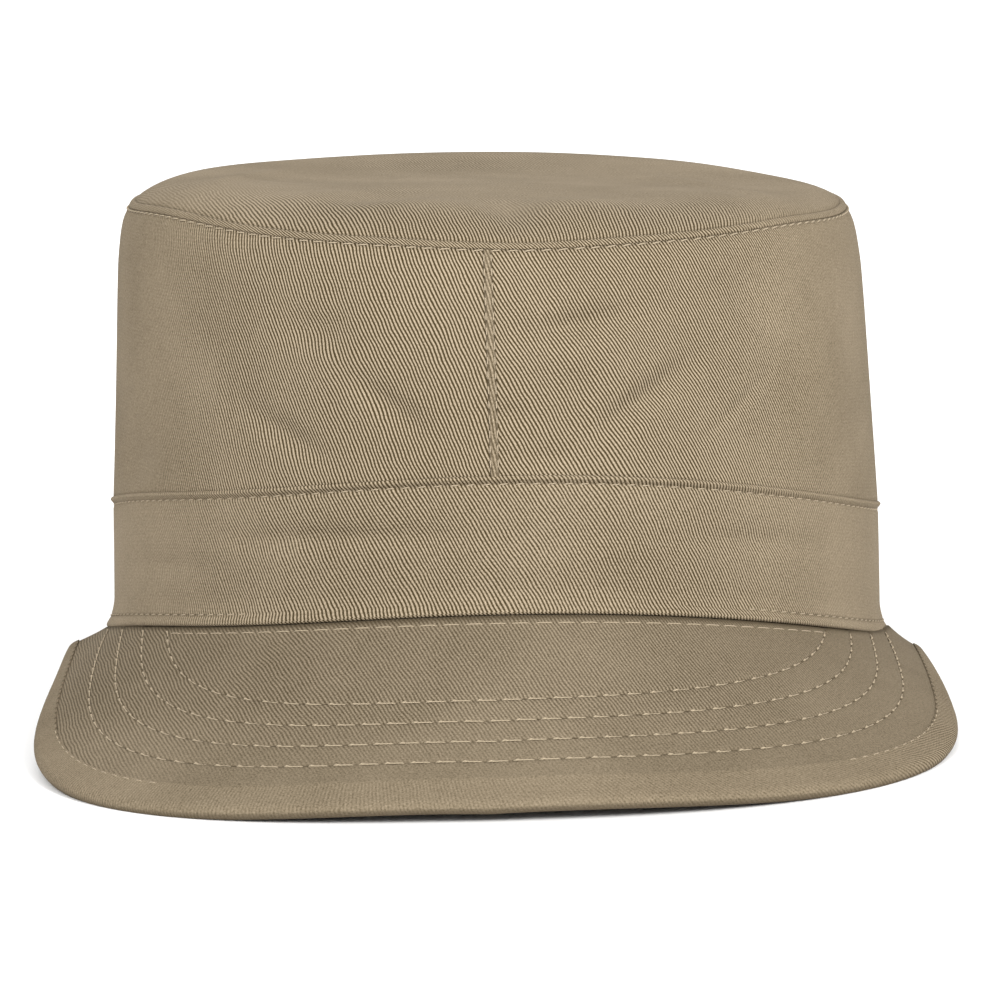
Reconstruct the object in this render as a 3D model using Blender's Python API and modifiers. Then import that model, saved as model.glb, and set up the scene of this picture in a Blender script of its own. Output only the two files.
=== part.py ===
"""Fatigue cap of cotton twill: a soft flat-topped crown, a band round its foot and a short stitched visor.

The cap is worked out in its own frame: X to the viewer's right, Y towards the back, Z up, with the sides
of the head opening at height 0. A turn round the crown is 0 at the front seam and 90 degrees at the
viewer's right. The finished cap is then stood on the surface as it would stand by itself.
"""
import bpy
import numpy as np

# Crown, in metres: the base is the outside of the band, the rim is the top seam
BASE_HALF_WIDTH = 0.0838
BASE_HALF_LENGTH = 0.0990
CROWN_HEIGHT = 0.0936
CROWN_LEAN = -0.0020
CROWN_LEAN_POWER = 1.5
FRONT_TIP = 0.0103
FRONT_ARCH = 0.0077
FRONT_SKEW = 0.0010
BACK_LIFT = 0.0050
TOP_DOME = 0.0076
TOP_FULLNESS = 6.0
TOP_THICKNESS = 0.0014
TOP_OVERHANG = 0.0005
PANEL_THICKNESS = 0.0012
PANEL_TUCK = 0.0040
PANEL_SHOULDER = 0.0020
BAND_WIDTH = 0.0281
BAND_THICKNESS = 0.0013

# Visor, in metres and degrees: its outline is the middle of its rolled edge
VISOR_REACH = 0.0493
VISOR_SIDE_REACH = 0.0107
VISOR_WIDEST = 0.0740
VISOR_END = 0.0130
VISOR_END_TURN = 84.0
VISOR_END_TAPER = 0.0034
VISOR_TAPER_POWER = 1.4
VISOR_LEFT_SQUARENESS = 2.60
VISOR_RIGHT_SQUARENESS = 2.30
VISOR_SHIFT = -0.0002
VISOR_SLOPE = 34.1
VISOR_END_SLOPE = 23.8
VISOR_SLOPE_POWER = 1.1
VISOR_CURL = 0.0036
VISOR_TWIST = 0.0004
VISOR_SEAM_DROP = 0.0008
VISOR_SEAM_TUCK = 0.0020
VISOR_PLY = 0.0010
BINDING_WIDTH = 0.0042
BINDING_THICKNESS = 0.0010

# Clearance between sewn pieces, and how far the cloth is pressed flat where the cap stands
GAP = 0.0003
FLOOR_PRESS = 0.0006

# How the crown's outside narrows on its way up, as shares of its height and of the base's size
CROWN_SECTIONS = (
    # height, width
    (0.000, 1.020),
    (0.045, 1.001),
    (0.300, 0.998),
    (0.540, 0.984),
    (0.780, 0.971),
    (0.870, 0.965),
    (0.940, 0.955),
    (0.980, 0.943),
    (1.000, 0.925),
)

# Slow rise and fall of the band's lower edge and of the top seam: lifts are shares of the crown's height
BASE_FOLDS = (
    # turn, reach round, lift
    (-68.0, 26.0, 0.020),
)
RIM_FOLDS = (
    # turn, reach round, lift
    (-60.0, 20.0, 0.022),
    (5.0, 17.0, -0.010),
    (54.0, 15.0, 0.010),
)

# Soft folds of the crown's wall: reach up and lift are shares of the crown's height
PANEL_FOLDS = (
    # turn, height, reach round, reach up, lean, lift
    (9.0, 0.45, 5.0, 0.10, 30.0, -0.012),
    (20.0, 0.62, 7.0, 0.22, 35.0, 0.010),
    (33.0, 0.50, 5.0, 0.16, 25.0, -0.012),
    (42.0, 0.86, 6.0, 0.09, 40.0, -0.010),
    (58.0, 0.60, 9.0, 0.20, -20.0, 0.009),
    (-20.0, 0.72, 12.0, 0.18, -30.0, 0.008),
    (-42.0, 0.86, 6.0, 0.08, -35.0, -0.009),
    (-62.0, 0.46, 7.0, 0.12, 15.0, -0.012),
    (112.0, 0.55, 10.0, 0.20, 25.0, -0.012),
    (150.0, 0.70, 9.0, 0.18, -25.0, 0.010),
    (-118.0, 0.60, 10.0, 0.22, -20.0, -0.012),
    (-152.0, 0.50, 9.0, 0.16, 30.0, 0.010),
)

# Dents and swells of the soft top: places and reaches are shares of the rim's half sizes, the front is
# at -1 along, and the lift is a share of the dome
TOP_FOLDS = (
    # across, along, reach across, reach along, lean, lift
    (-0.93, 0.15, 0.12, 0.50, 0.0, 0.90),
    (-0.66, 0.20, 0.14, 0.40, 0.0, -0.12),
    (-0.36, -0.30, 0.18, 0.60, 12.0, -0.30),
    (0.18, -0.50, 0.17, 0.34, 25.0, 0.25),
    (0.46, -0.25, 0.10, 0.60, -35.0, -0.30),
    (0.70, 0.10, 0.22, 0.55, 20.0, -0.25),
    (0.00, 0.35, 0.50, 0.22, 0.0, -0.20),
)

# Steps of the faceted surfaces, as shares of each surface's own width
CROWN_STEPS_ROUND = 72
PANEL_STEPS = (0.0, 0.15, 0.31, 0.46, 0.62, 0.74, 0.85, 0.92, 1.0)
BAND_STEPS = (0.0, 0.15, 0.55, 1.0)
TOP_STEPS = (0.0, 0.24, 0.46, 0.64, 0.77, 0.87, 0.95, 1.0)
VISOR_STEPS_ROUND = 44
VISOR_STEPS = (0.0, 0.14, 0.34, 0.56, 0.78, 1.0)
EDGE_STEPS = 6
OUTLINE_SAMPLES = 90
WELD_DISTANCE = 0.00001
STANDING_PASSES = 4


def edge_lift(folds, turn):
    """Slow rise and fall of an edge round the crown, as a sum of bells."""
    total = np.zeros(np.shape(turn))
    for centre, reach, lift in folds:
        away = (np.degrees(turn) - centre + 180) % 360 - 180
        total = total + CROWN_HEIGHT * lift * np.exp(-(away / reach) ** 2)
    return total


def base_height(turn):
    """Height of the head opening's edge: tipped up to the front, arched over the visor, level behind."""
    c = np.cos(turn)
    front = FRONT_ARCH * c ** 2 + FRONT_SKEW * np.sin(2 * turn) * c
    return FRONT_TIP * c + np.where(c > 0, front, BACK_LIFT * c ** 2) + edge_lift(BASE_FOLDS, turn)


def rim_height(turn):
    """Height of the top seam: level but for its slow rise and fall."""
    return CROWN_HEIGHT + edge_lift(RIM_FOLDS, turn)


def fold_lift(folds, across, along, circle=None):
    """Sum of long soft swells, each falling off as a bell along two axes turned by its lean."""
    total = 0.0
    for at_across, at_along, reach_across, reach_along, lean, lift in folds:
        away = across - at_across
        if circle:
            away = (away + circle / 2) % circle - circle / 2
        p = away / reach_across
        q = (along - at_along) / reach_along
        c, s = np.cos(np.radians(lean)), np.sin(np.radians(lean))
        total = total + lift * np.exp(-(p * c + q * s) ** 2 - (q * c - p * s) ** 2)
    return total


def crown_point(turn, share, inset=0.0):
    """Point on the crown's outside, a share of the way from base to rim, moved in by the inset."""
    heights, widths = np.array(CROWN_SECTIONS).T
    width = np.interp(share, heights, widths)
    base = base_height(turn)
    across = np.sin(turn) / BASE_HALF_WIDTH
    along = -np.cos(turn) / BASE_HALF_LENGTH
    length = np.hypot(across, along)
    x = width * BASE_HALF_WIDTH * np.sin(turn) - inset * across / length
    y = -width * BASE_HALF_LENGTH * np.cos(turn) - inset * along / length
    z = base + share * (rim_height(turn) - base)
    return np.stack(np.broadcast_arrays(x + CROWN_LEAN * share ** CROWN_LEAN_POWER, y, z), axis=-1)


def share_at(turn, height):
    """Share of the way from base to rim that lies this far above the base."""
    return height / (rim_height(turn) - base_height(turn))


def seam_turn():
    """Turn from a centre seam at which a side panel starts, so that the two stay a gap apart."""
    return np.arcsin(GAP / 2 / (BASE_HALF_WIDTH * CROWN_SECTIONS[-1][1]))


def visor_outline(along):
    """Middle of the rolled edge in plan, from the left end at -1 to the right end at 1, evenly spaced."""
    half_width = BASE_HALF_WIDTH + VISOR_SIDE_REACH
    front = BASE_HALF_LENGTH + VISOR_REACH
    side = np.linspace(0.0, 1.0, OUTLINE_SAMPLES)
    end_x = half_width - VISOR_END_TAPER * (1 - side) ** VISOR_TAPER_POWER
    end_y = -VISOR_END - side * (VISOR_WIDEST - VISOR_END)
    corner = np.radians(np.linspace(90.0, 0.0, OUTLINE_SAMPLES)[1:])
    halves = []
    for squareness in (VISOR_LEFT_SQUARENESS, VISOR_RIGHT_SQUARENESS):
        front_x = half_width * np.sin(corner) ** (2 / squareness)
        front_y = -VISOR_WIDEST - (front - VISOR_WIDEST) * np.cos(corner) ** (2 / squareness)
        halves.append((np.concatenate([end_x, front_x]), np.concatenate([end_y, front_y])))
    (left_x, left_y), (right_x, right_y) = halves
    x = np.concatenate([-left_x[:-1], right_x[::-1]]) + VISOR_SHIFT
    y = np.concatenate([left_y[:-1], right_y[::-1]])
    length = np.concatenate([[0.0], np.cumsum(np.hypot(np.diff(x), np.diff(y)))])
    length = 2 * length / length[-1] - 1
    return np.interp(along, length, x), np.interp(along, length, y)


def visor_point(along, share):
    """Middle of the visor's cloth, a share of the way from the band to the edge.

    It slopes away from the band, less at its two ends than at the front, and flattens towards the edge.
    """
    turn = along * np.radians(VISOR_END_TURN)
    foot = crown_point(turn, 0.0)
    edge_x, edge_y = visor_outline(along)
    x = foot[..., 0] + share * (edge_x - foot[..., 0])
    y = foot[..., 1] + share * (edge_y - foot[..., 1])
    out = np.hypot(x - foot[..., 0], y - foot[..., 1])
    slope = VISOR_SLOPE + (VISOR_END_SLOPE - VISOR_SLOPE) * np.abs(along) ** VISOR_SLOPE_POWER
    z = foot[..., 2] - share * edge_lift(BASE_FOLDS, turn)
    z = z - VISOR_SEAM_DROP - VISOR_PLY - GAP / 2 - out * np.tan(np.radians(slope))
    z = z + VISOR_CURL * (out / VISOR_REACH) ** 2 + VISOR_TWIST * share * x / BASE_HALF_WIDTH
    return np.stack(np.broadcast_arrays(x, y, z), axis=-1)


def surface_normals(grid):
    """Unit normals of a grid of points, from the directions of its rows and columns."""
    normals = np.cross(np.gradient(grid, axis=1), np.gradient(grid, axis=0))
    return normals / np.linalg.norm(normals, axis=-1, keepdims=True)


def cloth(name, grid, colour, roughness, thickness, ring=False):
    """Open surface through a grid of points, given its wall inwards; a ring closes on its first column."""
    rows, columns = grid.shape[:2]
    faces = []
    for row in range(rows - 1):
        for column in range(columns if ring else columns - 1):
            here = row * columns + column
            right = row * columns + (column + 1) % columns
            faces.append((here, right, right + columns, here + columns))
    mesh = bpy.data.meshes.new(name)
    mesh.from_pydata(grid.reshape(-1, 3).tolist(), [], faces)
    material = bpy.data.materials.new(name)
    material.use_nodes = True
    shader = material.node_tree.nodes["Principled BSDF"]
    shader.inputs["Base Color"].default_value = (*colour, 1.0)
    shader.inputs["Roughness"].default_value = roughness
    shader.inputs["Metallic"].default_value = 0.0
    mesh.materials.append(material)
    piece = bpy.data.objects.new(name, mesh)
    collection.objects.link(piece)
    weld = piece.modifiers.new("weld", "WELD")
    weld.merge_threshold = WELD_DISTANCE
    wall = piece.modifiers.new("wall", "SOLIDIFY")
    wall.thickness = thickness
    wall.offset = -1.0
    return piece


def make_crown_top():
    """Oval top piece: puffed up inside its seam, with soft dents, its edge a ridge just proud of the wall."""
    turn = np.linspace(0, 2 * np.pi, CROWN_STEPS_ROUND, endpoint=False)
    rim = crown_point(turn, 1.0, -TOP_OVERHANG)
    share = np.array(TOP_STEPS)[:, None]
    centre = np.array([CROWN_LEAN, 0.0, CROWN_HEIGHT])
    grid = centre + share[..., None] * (rim - centre)
    grid[..., 2] = CROWN_HEIGHT + share ** 2 * (rim[:, 2] - CROWN_HEIGHT)
    folds = fold_lift(TOP_FOLDS, share * np.sin(turn), -share * np.cos(turn))
    grid[..., 2] += TOP_DOME * (1 - share ** TOP_FULLNESS) * (1 + folds)
    return cloth("crown_top", grid[::-1], (0.335, 0.262, 0.181), 0.90, TOP_THICKNESS, ring=True)


def make_side_panel(name, first, last, colour):
    """Half of the crown's wall, from front seam to back seam: its foot is inside the band, its folds fade."""
    steps = CROWN_STEPS_ROUND // 2 + 1
    turn = np.linspace(first, last, steps)
    inside = BAND_THICKNESS + GAP
    top = share_at(turn, rim_height(turn) - base_height(turn) - TOP_THICKNESS - GAP)
    foot = share_at(turn, PANEL_TUCK)
    under = share_at(turn, BAND_WIDTH + GAP)
    over = share_at(turn, BAND_WIDTH + GAP + PANEL_SHOULDER)
    rows = [crown_point(turn, foot, inside), crown_point(turn, under, inside)]
    for step in PANEL_STEPS:
        share = over + (top - over) * step
        fade = 4 * step * (1 - step)
        lift = CROWN_HEIGHT * fold_lift(PANEL_FOLDS, np.degrees(turn), share, circle=360)
        rows.append(crown_point(turn, share, -lift * fade))
    return cloth(name, np.array(rows), colour, 0.88, PANEL_THICKNESS)


def make_band():
    """Band round the foot of the crown: one strip, its lower edge flared a little over the visor."""
    turn = np.linspace(0, 2 * np.pi, CROWN_STEPS_ROUND, endpoint=False)
    rows = [crown_point(turn, share_at(turn, step * BAND_WIDTH)) for step in BAND_STEPS]
    return cloth("band", np.array(rows), (0.325, 0.256, 0.172), 0.88, BAND_THICKNESS, ring=True)


def visor_grid(stations):
    """Rows of points on the middle of the visor's cloth, the first turned in level under the band."""
    rows = [visor_point(stations, share) for share in VISOR_STEPS]
    turn = stations * np.radians(VISOR_END_TURN)
    tuck = crown_point(turn, 0.0, BAND_THICKNESS + VISOR_SEAM_TUCK)
    tuck[..., 2] = rows[0][..., 2]
    return np.array([tuck] + rows)


def make_visor():
    """Upper and under cloth of the visor, and the bias strip folded over their edge."""
    stations = np.linspace(-1, 1, VISOR_STEPS_ROUND + 1)
    middle = visor_grid(stations)
    up = -surface_normals(middle)
    upper = middle + up * (GAP / 2 + VISOR_PLY)
    under = middle - up * (GAP / 2 + VISOR_PLY)
    cloth("visor_upper", upper[::-1], (0.280, 0.220, 0.148), 0.90, VISOR_PLY)
    cloth("visor_under", under, (0.270, 0.210, 0.140), 0.90, VISOR_PLY)

    edge_x, edge_y = visor_outline(stations)
    foot = visor_point(stations, 0.0)
    width = np.hypot(edge_x - foot[:, 0], edge_y - foot[:, 1])
    leg = visor_point(stations, 1 - BINDING_WIDTH / width)
    edge = middle[-1]
    out = edge - leg
    out = out / np.linalg.norm(out, axis=1, keepdims=True)
    rise = up[-1]
    round_over = GAP / 2 + VISOR_PLY + GAP + BINDING_THICKNESS
    rows = [leg + rise * round_over]
    for angle in np.linspace(90, -90, EDGE_STEPS + 1):
        swing = np.radians(angle)
        rows.append(edge + round_over * (np.cos(swing) * out + np.sin(swing) * rise))
    rows.append(leg - rise * round_over)
    cloth("visor_binding", np.array(rows)[::-1], (0.290, 0.228, 0.152), 0.86, BINDING_THICKNESS)


def stand_on_surface(pieces):
    """Tip the cap onto the visor's two corners and the band's back, press those flat, centre it over 0."""
    depsgraph = bpy.context.evaluated_depsgraph_get()
    points = {}
    for piece in pieces:
        mesh = bpy.data.meshes.new_from_object(piece.evaluated_get(depsgraph))
        piece.modifiers.clear()
        piece.data = mesh
        flat = np.empty(len(mesh.vertices) * 3)
        mesh.vertices.foreach_get("co", flat)
        points[piece.name] = flat.reshape(-1, 3)
    for _ in range(STANDING_PASSES):
        cap = np.concatenate(list(points.values()))
        supports = []
        for part in (cap[:, 1] > 0, (cap[:, 1] < 0) & (cap[:, 0] < 0), (cap[:, 1] < 0) & (cap[:, 0] > 0)):
            found = cap[part]
            supports.append(found[found[:, 2].argmin()])
        back, left, right = supports
        normal = np.cross(left - back, right - back)
        normal = normal / np.linalg.norm(normal) * np.sign(normal[2])
        side = np.cross([0.0, 1.0, 0.0], normal)
        side = side / np.linalg.norm(side)
        turned = np.array([side, np.cross(normal, side), normal])
        points = {name: found @ turned.T for name, found in points.items()}
    cap = np.concatenate(list(points.values()))
    low, high = cap.min(axis=0), cap.max(axis=0)
    move = np.array([(low[0] + high[0]) / 2, (low[1] + high[1]) / 2, low[2] + FLOOR_PRESS])
    for piece in pieces:
        placed = points[piece.name] - move
        placed[:, 2] = np.maximum(placed[:, 2], 0.0)
        piece.data.vertices.foreach_set("co", placed.ravel())
        piece.data.update()


for old in list(bpy.data.objects):
    bpy.data.objects.remove(old, do_unlink=True)

collection = bpy.data.collections.new("fatigue_cap")
bpy.context.scene.collection.children.link(collection)

make_crown_top()
start = seam_turn()
make_side_panel("side_panel_right", start, np.pi - start, (0.330, 0.260, 0.180))
make_side_panel("side_panel_left", np.pi + start, 2 * np.pi - start, (0.325, 0.256, 0.176))
make_band()
make_visor()
stand_on_surface(list(collection.objects))
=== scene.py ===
"""Looks of a khaki cotton twill fatigue cap: soft flat-topped crown, band, stitched visor and bound edge."""
import bpy
import numpy as np
from mathutils import Matrix, Vector


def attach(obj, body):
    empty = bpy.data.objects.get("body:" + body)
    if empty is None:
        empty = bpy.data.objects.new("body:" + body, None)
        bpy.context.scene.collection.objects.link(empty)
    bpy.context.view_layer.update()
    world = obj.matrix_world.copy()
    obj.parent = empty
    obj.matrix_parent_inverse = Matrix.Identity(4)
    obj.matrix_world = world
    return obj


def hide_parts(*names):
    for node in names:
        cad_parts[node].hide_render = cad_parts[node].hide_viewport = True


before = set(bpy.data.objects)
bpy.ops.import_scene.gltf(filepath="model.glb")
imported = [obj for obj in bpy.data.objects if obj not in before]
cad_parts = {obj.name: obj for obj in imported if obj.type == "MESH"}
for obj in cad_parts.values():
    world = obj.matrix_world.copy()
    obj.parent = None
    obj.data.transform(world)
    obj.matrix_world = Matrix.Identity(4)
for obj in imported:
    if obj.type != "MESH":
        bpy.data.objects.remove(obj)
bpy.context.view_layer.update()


# Camera: a long lens, 1.5 m away and a little above the middle of the cap, which fills the square frame.
# It is rolled by about a degree, because the cap stands a little askew in the picture.
CAMERA_TARGET = (0.00167, 0.02655, 0.0383)
CAMERA_DISTANCE = 1.5
CAMERA_ELEVATION = 10.04
CAMERA_TURN = -0.16
CAMERA_ROLL = -1.32
CAMERA_LENS = 246.3
CAMERA_SENSOR = 36.0

camera_data = bpy.data.cameras.new("camera")
camera_data.lens = CAMERA_LENS
camera_data.sensor_width = CAMERA_SENSOR
camera = bpy.data.objects.new("camera", camera_data)
bpy.context.scene.collection.objects.link(camera)
bpy.context.scene.camera = camera
camera.matrix_world = (
    Matrix.Translation(CAMERA_TARGET)
    @ Matrix.Rotation(-np.radians(CAMERA_TURN), 4, "Z")
    @ Matrix.Rotation(np.radians(90.0 - CAMERA_ELEVATION), 4, "X")
    @ Matrix.Rotation(np.radians(CAMERA_ROLL), 4, "Z")
    @ Matrix.Translation((0.0, 0.0, CAMERA_DISTANCE))
)


# Side panels: the crown's wall, two halves cut from cotton twill and sewn together at the front and back
# centre, tapering a little to the top seam, with soft folds where the cloth has been handled. They set the
# crown's outline, so its sizes, the cloth's weave and the way the cap stands are given here.
BASE_HALF_WIDTH = 0.0838
BASE_HALF_LENGTH = 0.0990
CROWN_HEIGHT = 0.0936
CROWN_LEAN = -0.0020
CROWN_LEAN_POWER = 1.5
FRONT_TIP = 0.0103
FRONT_ARCH = 0.0077
FRONT_SKEW = 0.0010
BACK_LIFT = 0.0050
BAND_WIDTH = 0.0281
BAND_THICKNESS = 0.0013
PANEL_THICKNESS = 0.0010
PANEL_TUCK = 0.0040
PANEL_SHOULDER = 0.0005
GAP = 0.0003
STANDING_UP = (-0.02177, -0.04553, 0.99873)
STANDING_SHIFT = (0.00043, 0.02527, 0.01005)
CROWN_SECTIONS = (
    # share of the crown's height, share of the base's width
    (0.000, 1.020),
    (0.045, 1.001),
    (0.300, 0.998),
    (0.540, 0.984),
    (0.780, 0.971),
    (0.870, 0.965),
    (0.940, 0.955),
    (0.980, 0.943),
    (1.000, 0.925),
)
SECTION_ROUNDING = 0.018
BASE_FOLDS = (
    # turn in degrees, reach round in degrees, lift as a share of the crown's height
    (-68.0, 26.0, 0.020),
)
RIM_FOLDS = (
    # turn in degrees, reach round in degrees, lift as a share of the crown's height
    (-60.0, 20.0, 0.022),
    (5.0, 17.0, -0.010),
    (54.0, 15.0, 0.010),
)
PANEL_FOLDS = (
    # turn, height share, reach round, reach up as a share, lean, lift as a share; the angles in degrees
    (2.4, 0.54, 2.2, 0.030, 0.0, -0.0050),
    (8.0, 0.405, 4.5, 0.035, 0.0, -0.0150),
    (13.0, 0.785, 8.0, 0.035, 10.0, -0.0075),
    (12.0, 0.70, 6.0, 0.060, 0.0, 0.0040),
    (22.0, 0.57, 9.0, 0.035, 38.0, -0.0085),
    (38.0, 0.55, 7.0, 0.014, 40.0, -0.0024),
    (42.0, 0.86, 6.0, 0.090, -40.0, -0.0050),
    (58.0, 0.60, 9.0, 0.200, -20.0, 0.0060),
    (-14.0, 0.55, 7.0, 0.035, -43.0, -0.0065),
    (-20.0, 0.72, 12.0, 0.180, 30.0, 0.0060),
    (-26.0, 0.76, 6.0, 0.050, 0.0, -0.0070),
    (-30.0, 0.47, 8.0, 0.035, -32.0, -0.0085),
    (-68.0, 0.36, 8.0, 0.070, 0.0, -0.0250),
    (112.0, 0.55, 10.0, 0.200, 25.0, -0.0120),
    (150.0, 0.70, 9.0, 0.180, -25.0, 0.0100),
    (-118.0, 0.60, 10.0, 0.220, -20.0, -0.0120),
    (-152.0, 0.50, 9.0, 0.160, 30.0, 0.0100),
)
LEFT_RIB_ANGLE = 66.0
RIGHT_RIB_ANGLE = 57.5
PANEL_COLUMNS = 360
PANEL_ROWS = 84
PANEL_TOP_DROP = 0.00062
FOLD_DEPTH = 2.6
DEGREES_IN_HEIGHT = 64.0
RIM_STITCH = 0.0035
RIM_LINE_DROP = 0.0002
LINE_SOFTNESS = 0.0002
PUCKER = 0.00008
PUCKER_REACH = 0.0022
SIDE_RELIEF = 0.22
WORN_FLAT_AT = 0.46
UNWORN_AT = 0.90
WELD_REACH = 0.000005


def edge_lift(folds, turn):
    """Rise of an edge round the crown: the sum of lift * exp(-(degrees away / reach) squared)."""
    total = np.zeros(np.shape(turn))
    for centre, reach, lift in folds:
        away = (np.degrees(turn) - centre + 180) % 360 - 180
        total = total + CROWN_HEIGHT * lift * np.exp(-(away / reach) ** 2)
    return total


def base_height(turn):
    """Height of the opening's edge: tip * cos, plus an arch * cos squared in front or a lift behind."""
    c = np.cos(turn)
    front = FRONT_ARCH * c ** 2 + FRONT_SKEW * np.sin(2 * turn) * c
    return FRONT_TIP * c + np.where(c > 0, front, BACK_LIFT * c ** 2) + edge_lift(BASE_FOLDS, turn)


def rim_height(turn):
    """Height of the top seam: the crown's height plus its slow rise and fall."""
    return CROWN_HEIGHT + edge_lift(RIM_FOLDS, turn)


def fold_lift(folds, across, along, circle=None, aspect=1.0):
    """Sum of swells lift * exp(-p squared - q squared), p and q along two axes turned by the fold's lean.

    The aspect is how many units of across are as long as one unit of along.
    """
    total = 0.0
    for at_across, at_along, reach_across, reach_along, lean, lift in folds:
        away = across - at_across
        if circle:
            away = (away + circle / 2) % circle - circle / 2
        up = (along - at_along) * aspect
        c, s = np.cos(np.radians(lean)), np.sin(np.radians(lean))
        p = (away * c + up * s) / reach_across
        q = (up * c - away * s) / (reach_along * aspect)
        total = total + lift * np.exp(-p ** 2 - q ** 2)
    return total


def crown_width(share):
    """Width share at a height share: the sections joined by straight lines, whose corners are rounded."""
    heights, widths = np.array(CROWN_SECTIONS).T
    near = np.array([-1.0, -0.5, 0.0, 0.5, 1.0]) * SECTION_ROUNDING
    return sum(np.interp(share + step, heights, widths) for step in near) / len(near)


def crown_point(turn, share, outset=0.0):
    """Ellipse scaled by the width at that height share, plus the outset, at base + share * (rim - base)."""
    width = crown_width(share)
    base = base_height(turn)
    across = np.sin(turn) / BASE_HALF_WIDTH
    along = -np.cos(turn) / BASE_HALF_LENGTH
    length = np.hypot(across, along)
    x = width * BASE_HALF_WIDTH * np.sin(turn) + outset * across / length
    y = -width * BASE_HALF_LENGTH * np.cos(turn) + outset * along / length
    z = base + share * (rim_height(turn) - base)
    return np.stack(np.broadcast_arrays(x + CROWN_LEAN * share ** CROWN_LEAN_POWER, y, z), axis=-1)


def share_at(turn, height):
    """Height above the base as a share of the way from base to rim."""
    return height / (rim_height(turn) - base_height(turn))


def round_length(turn):
    """Distance round the base from the front seam, summed from small steps of the base ellipse."""
    fine = np.linspace(-2 * np.pi, 2 * np.pi, 4001)
    step = np.hypot(BASE_HALF_WIDTH * np.cos(fine), BASE_HALF_LENGTH * np.sin(fine)) * (fine[1] - fine[0])
    run = np.cumsum(step)
    return np.interp(turn, fine, run - np.interp(0.0, fine, run))


def ramp(value, low, high):
    """0 below low, 1 above high, and a smooth S between."""
    t = np.clip((value - low) / (high - low), 0.0, 1.0)
    return t * t * (3 - 2 * t)


def bell(value, centre, reach):
    """exp(-((value - centre) / reach) squared)."""
    return np.exp(-((value - centre) / reach) ** 2)


def stand(points):
    """The cap's own frame turned so that its standing direction points up, then moved over the origin."""
    up = np.array(STANDING_UP)
    side = np.cross([0.0, 1.0, 0.0], up)
    side = side / np.linalg.norm(side)
    placed = points @ np.array([side, np.cross(up, side), up]).T + np.array(STANDING_SHIFT)
    placed[..., 2] = np.maximum(placed[..., 2], 0.0)
    return placed


def rib_coordinates(round_by, up_by, angle):
    """Distances across and along ribs falling to the right at the angle: a turn of the cloth's own plane."""
    c, s = np.cos(np.radians(angle)), np.sin(np.radians(angle))
    return np.stack(np.broadcast_arrays(round_by * s + up_by * c, round_by * c - up_by * s), axis=-1)


def put_mesh(name, points, quads, corner_ribs, shades, material, thickness=0.0):
    """Mesh of quads, with rib distances as its UV map and the named shades as attributes of its points."""
    mesh = bpy.data.meshes.new(name)
    mesh.vertices.add(len(points))
    mesh.vertices.foreach_set("co", stand(points).astype(np.float32).ravel())
    mesh.loops.add(quads.size)
    mesh.loops.foreach_set("vertex_index", quads.astype(np.int32).ravel())
    mesh.polygons.add(len(quads))
    mesh.polygons.foreach_set("loop_start", np.arange(0, quads.size, 4, dtype=np.int32))
    mesh.update(calc_edges=True)
    layer = mesh.uv_layers.new(name="ribs")
    layer.data.foreach_set("uv", corner_ribs.astype(np.float32).ravel())
    for shade, values in shades.items():
        attribute = mesh.attributes.new(shade, "FLOAT", "POINT")
        attribute.data.foreach_set("value", values.astype(np.float32).ravel())
    mesh.shade_smooth()
    mesh.materials.append(material)
    piece = bpy.data.objects.new(name, mesh)
    bpy.context.scene.collection.objects.link(piece)
    weld = piece.modifiers.new("weld", "WELD")
    weld.merge_threshold = WELD_REACH
    if thickness:
        wall = piece.modifiers.new("wall", "SOLIDIFY")
        wall.thickness = thickness
        wall.offset = -1.0
    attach(piece, "root")
    return piece


def put_cloth(name, grid, ribs, material, relief=1.0, away=1.0, ring=False, tube=False, thickness=0.0):
    """Quads over a grid of points: a ring joins its last column to its first, a tube its last row likewise.

    The relief is how deep the weave stands and how strong its painted groove shade is, and away is the
    distance from the nearest line of sewing, near which the colour is darkened as painted shade.
    """
    rows, columns = grid.shape[:2]
    here = np.arange(rows * columns).reshape(rows, columns)
    corners = np.pad(here, ((0, int(tube)), (0, int(ring))), mode="wrap")
    quads = np.stack([corners[:-1, :-1], corners[:-1, 1:], corners[1:, 1:], corners[1:, :-1]], axis=-1)
    ribs = np.broadcast_to(ribs, (rows, columns, 2))
    if ring:
        ribs = np.concatenate([ribs, 2 * ribs[:, -1:] - ribs[:, -2:-1]], axis=1)
    if tube:
        ribs = np.concatenate([ribs, 2 * ribs[-1:] - ribs[-2:-1]], axis=0)
    corner_ribs = np.stack([ribs[:-1, :-1], ribs[:-1, 1:], ribs[1:, 1:], ribs[1:, :-1]], axis=2)
    shades = {
        "relief": np.broadcast_to(relief, (rows, columns)),
        "away": np.broadcast_to(away, (rows, columns)),
    }
    points = grid.reshape(-1, 3)
    return put_mesh(name, points, quads.reshape(-1, 4), corner_ribs, shades, material, thickness)


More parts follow.
